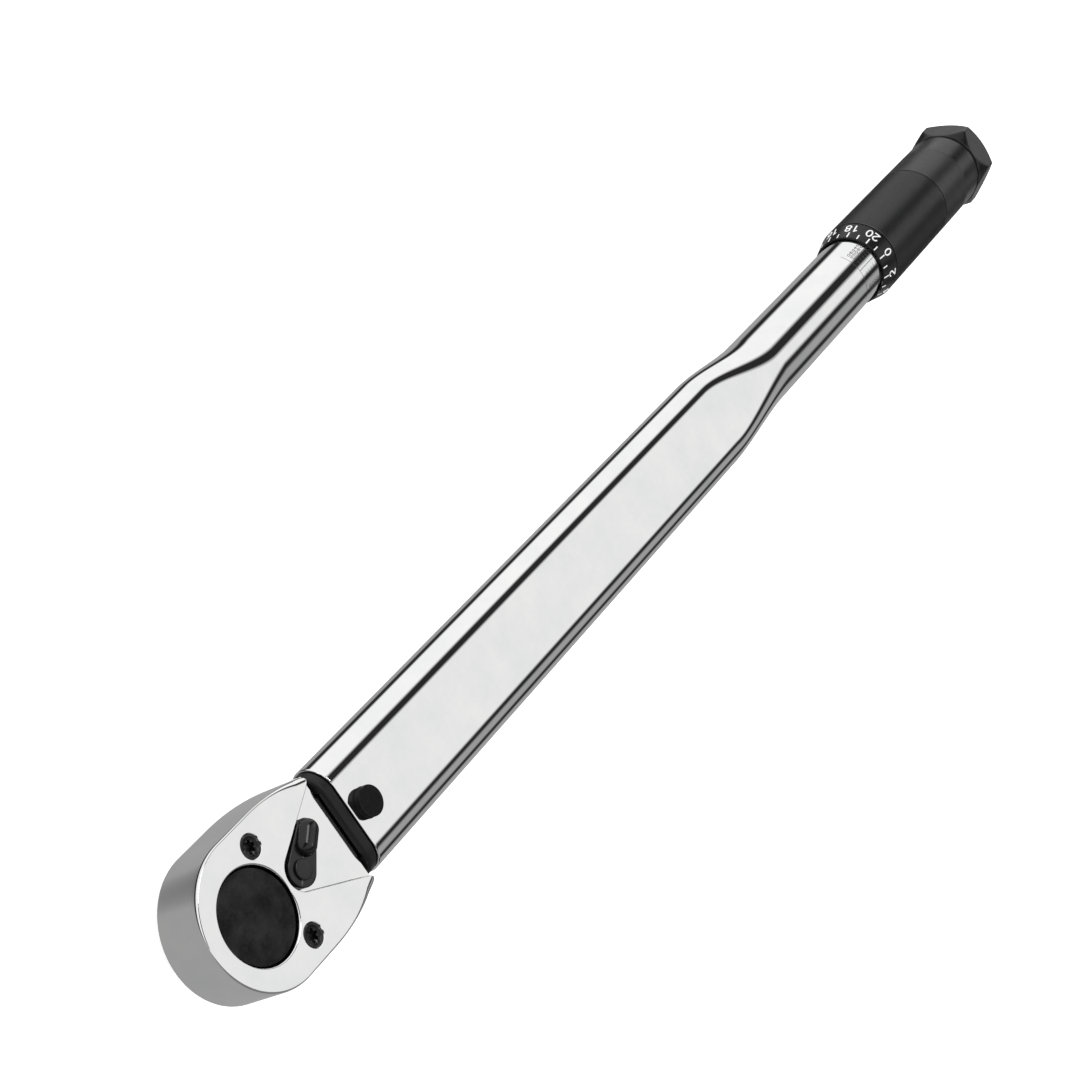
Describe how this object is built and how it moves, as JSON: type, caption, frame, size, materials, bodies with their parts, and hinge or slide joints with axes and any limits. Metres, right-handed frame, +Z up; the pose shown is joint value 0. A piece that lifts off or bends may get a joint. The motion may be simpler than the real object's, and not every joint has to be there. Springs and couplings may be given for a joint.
{
  "type": "click torque wrench",
  "caption": "Half-inch drive click torque wrench with a flattened steel tube, a swinging ratchet head, a scaled twist grip and a hexagonal lock knob.",
  "frame": {"origin": "centre of the end face of the half-inch drive square", "axes": "+X along the wrench from the drive axis towards the lock knob, +Z along the drive axis towards the lever side of the head, +Y to the left of a viewer who looks along +X with +Z up"},
  "size_m": [0.6178, 0.0442, 0.0426],
  "materials": {
    "polished_chrome": "polished chrome plate",
    "black_oxide": "satin black oxide on steel",
    "black_satin": "satin black coating on aluminium and steel",
    "bare_steel": "machined steel, lightly oiled",
    "spring_steel": "dark spring wire",
    "black_rubber": "matte",
    "black_nylon": "matte"
  },
  "bodies": {
    "frame": {"tube_body": "polished_chrome", "pivot_pin": "black_oxide", "dust_seal": "black_rubber", "rod_guide": "black_nylon", "tube_nut": "bare_steel", "nut_pin_left": "bare_steel", "nut_pin_right": "bare_steel"},
    "head": {"ratchet_head": "polished_chrome", "cover_plate": "bare_steel", "cover_screw_left": "black_oxide", "cover_screw_right": "black_oxide"},
    "gear": {"drive_gear": "black_oxide", "detent_spring": "spring_steel"},
    "detent_ball": {"detent_ball": "bare_steel"},
    "lever": {"reverse_lever": "black_oxide", "plunger_spring": "spring_steel"},
    "plunger": {"lever_plunger": "bare_steel"},
    "pawl": {"pawl": "bare_steel"},
    "push_rod": {"push_rod": "bare_steel", "front_spring_seat": "bare_steel", "main_spring": "spring_steel"},
    "tilt_block": {"tilt_block": "bare_steel"},
    "spring_seat": {"rear_spring_seat": "bare_steel", "thrust_ball": "bare_steel"},
    "handle": {"adjusting_screw": "bare_steel", "stop_ring": "spring_steel", "scale_thimble": "black_satin", "grip_sleeve": "black_satin", "sleeve_nut": "bare_steel"},
    "lock_rod": {"lock_rod": "bare_steel"},
    "lock_knob": {"lock_knob": "black_satin"},
    "lock_ball_left": {"lock_ball_left": "bare_steel"},
    "lock_ball_right": {"lock_ball_right": "bare_steel"}
  },
  "joints": [
    {"name": "head_click", "type": "hinge", "parent": "frame", "child": "head", "pos_m": [0.0531, 0, 0.025], "axis": [0, 0, 1], "range_deg": [-2.5, 2.5], "stiffness_Nm_per_rad": 600},
    {"name": "gear_turn", "type": "hinge", "parent": "head", "child": "gear", "pos_m": [0, 0, 0.02], "axis": [0, 0, 1], "continuous": true},
    {"name": "detent_press", "type": "slide", "parent": "gear", "child": "detent_ball", "axis": [1, 0, 0], "range_m": [0, 0.0009], "stiffness_N_per_m": 4000, "deforming": ["detent_spring"]},
    {"name": "lever_flip", "type": "hinge", "parent": "head", "child": "lever", "pos_m": [0.02085, 0, 0.03], "axis": [0, 0, 1], "range_deg": [-73, 0]},
    {"name": "pawl_rock", "type": "hinge", "parent": "head", "child": "pawl", "pos_m": [0.0156, 0, 0.0228], "axis": [0, 0, 1], "range_deg": [-3.1, 0]},
    {"name": "plunger_press", "type": "slide", "parent": "lever", "child": "plunger", "axis": [0.8039, 0.5948, 0], "range_m": [0, 0.0006], "stiffness_N_per_m": 2000, "deforming": ["plunger_spring"]},
    {"name": "push_rod_slide", "type": "slide", "parent": "frame", "child": "push_rod", "axis": [1, 0, 0], "range_m": [0, 0.0014], "stiffness_N_per_m": 30000, "deforming": ["main_spring"]},
    {"name": "block_tilt", "type": "hinge", "parent": "push_rod", "child": "tilt_block", "pos_m": [0.157, 0, 0.025], "axis": [0, 0, 1], "range_deg": [-21.5, 21.5]},
    {"name": "seat_slide", "type": "slide", "parent": "frame", "child": "spring_seat", "axis": [1, 0, 0], "range_m": [-0.01412, 0.01412]},
    {"name": "handle_turn", "type": "hinge", "parent": "spring_seat", "child": "handle", "pos_m": [0.5, 0, 0.025], "axis": [1, 0, 0], "range_deg": [-1800, 1800]},
    {"name": "lock_rod_slide", "type": "slide", "parent": "handle", "child": "lock_rod", "axis": [1, 0, 0], "range_m": [0, 0.00251]},
    {"name": "knob_turn", "type": "hinge", "parent": "lock_rod", "child": "lock_knob", "pos_m": [0.57, 0, 0.025], "axis": [1, 0, 0], "range_deg": [0, 720]},
    {"name": "lock_ball_left_slide", "type": "slide", "parent": "handle", "child": "lock_ball_left", "axis": [0, -1, 0], "range_m": [0, 0.00051]},
    {"name": "lock_ball_right_slide", "type": "slide", "parent": "handle", "child": "lock_ball_right", "axis": [0, 1, 0], "range_m": [0, 0.00051]}
  ],
  "couplings": [
    {"joint": "block_tilt", "follows": "head_click", "ratio": -8.4455},
    {"joint": "pawl_rock", "follows": "lever_flip", "ratio": 0.041096},
    {"joint": "seat_slide", "follows": "handle_turn", "m_per_rad": 0.00044916},
    {"joint": "lock_rod_slide", "follows": "knob_turn", "m_per_rad": 0.00019894},
    {"joint": "lock_ball_left_slide", "follows": "knob_turn", "m_per_rad": 0.000039789},
    {"joint": "lock_ball_right_slide", "follows": "knob_turn", "m_per_rad": 0.000039789}
  ]
}
